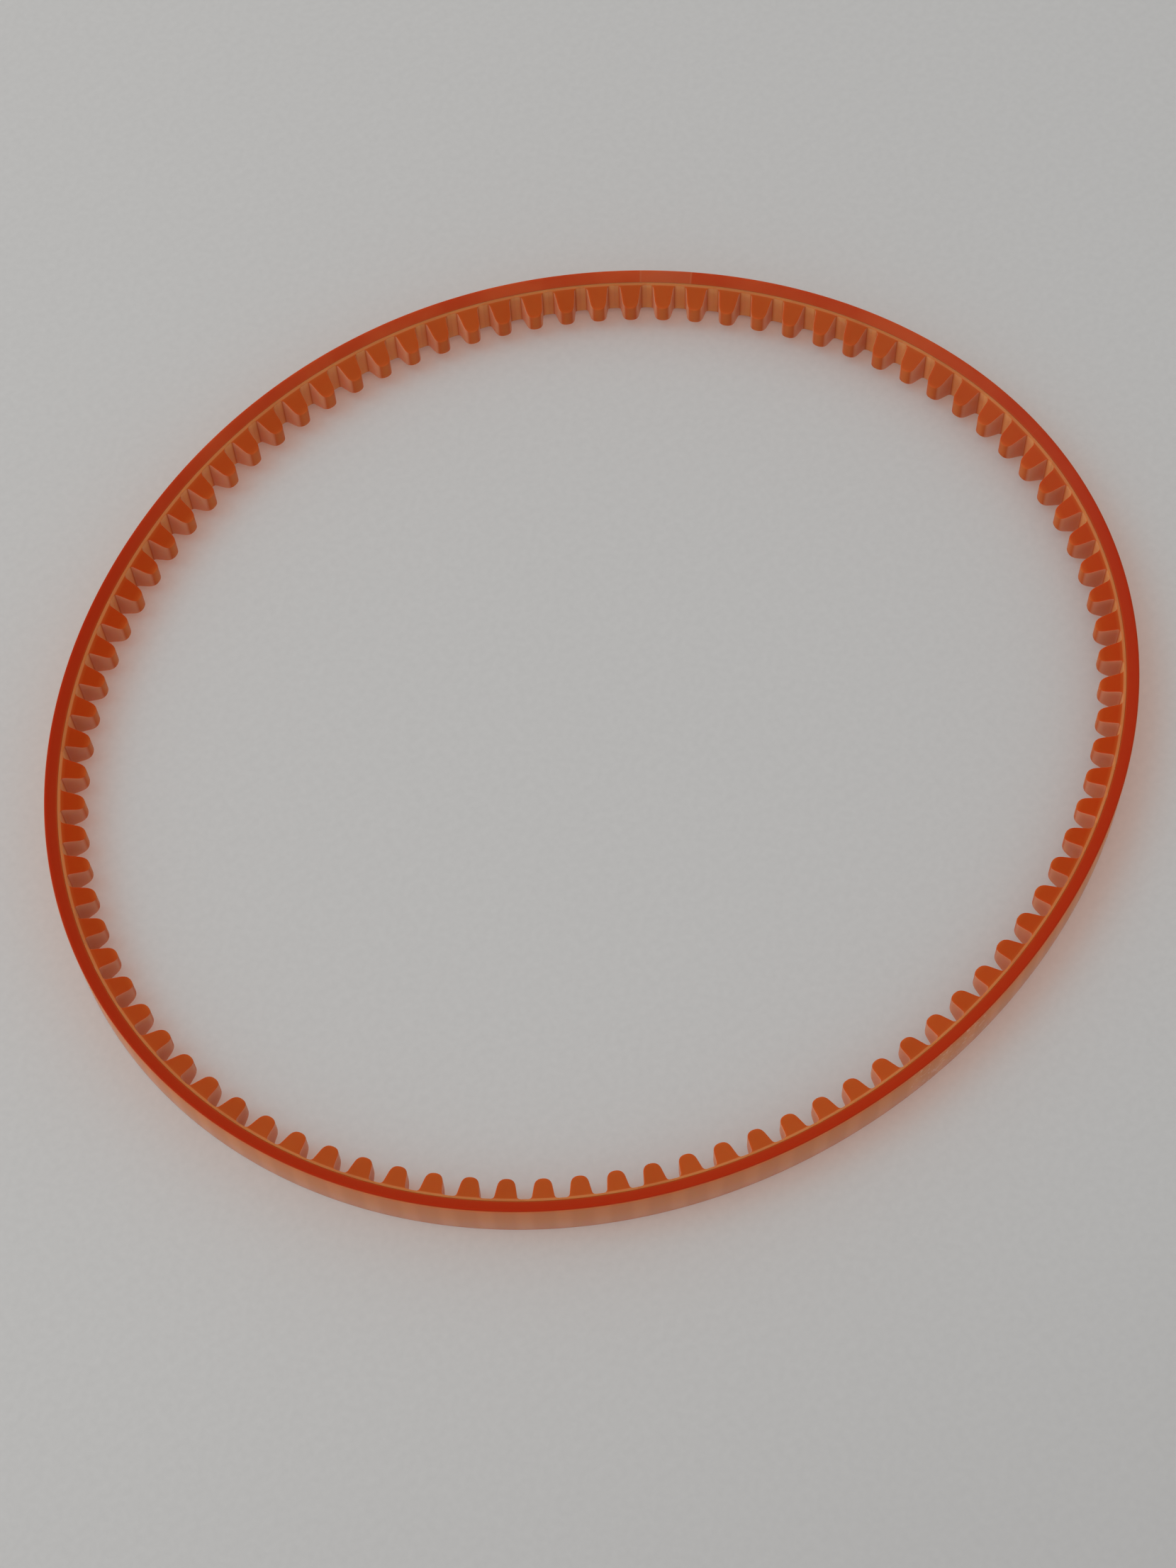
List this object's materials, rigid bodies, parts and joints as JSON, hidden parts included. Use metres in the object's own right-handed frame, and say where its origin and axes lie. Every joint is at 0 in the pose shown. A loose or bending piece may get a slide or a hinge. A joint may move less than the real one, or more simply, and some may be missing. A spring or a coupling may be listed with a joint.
{
  "type": "v belt",
  "caption": "Endless cogged V-belt of translucent orange polyurethane: a tapered backing strip with rounded lugs on its inner side, lying on its edge as a slightly oval loop.",
  "frame": {"origin": "centre of the loop's outer box, on the surface that the belt lies on", "axes": "+Z square to the loop, up through its middle; +X along the loop's long axis; +Y across it"},
  "size_m": [0.1004, 0.089, 0.0049],
  "materials": {
    "backing_urethane": "cast translucent red-orange polyurethane, smooth with a soft gloss",
    "cord_polyester": "twisted polyester cord, sealed inside the belt",
    "lug_urethane": "cast translucent orange polyurethane, smooth with a soft gloss"
  },
  "bodies": {
    "root": {"backing_band": "backing_urethane", "tension_cord": "cord_polyester", "lug_ring": "lug_urethane"}
  },
  "joints": []
}
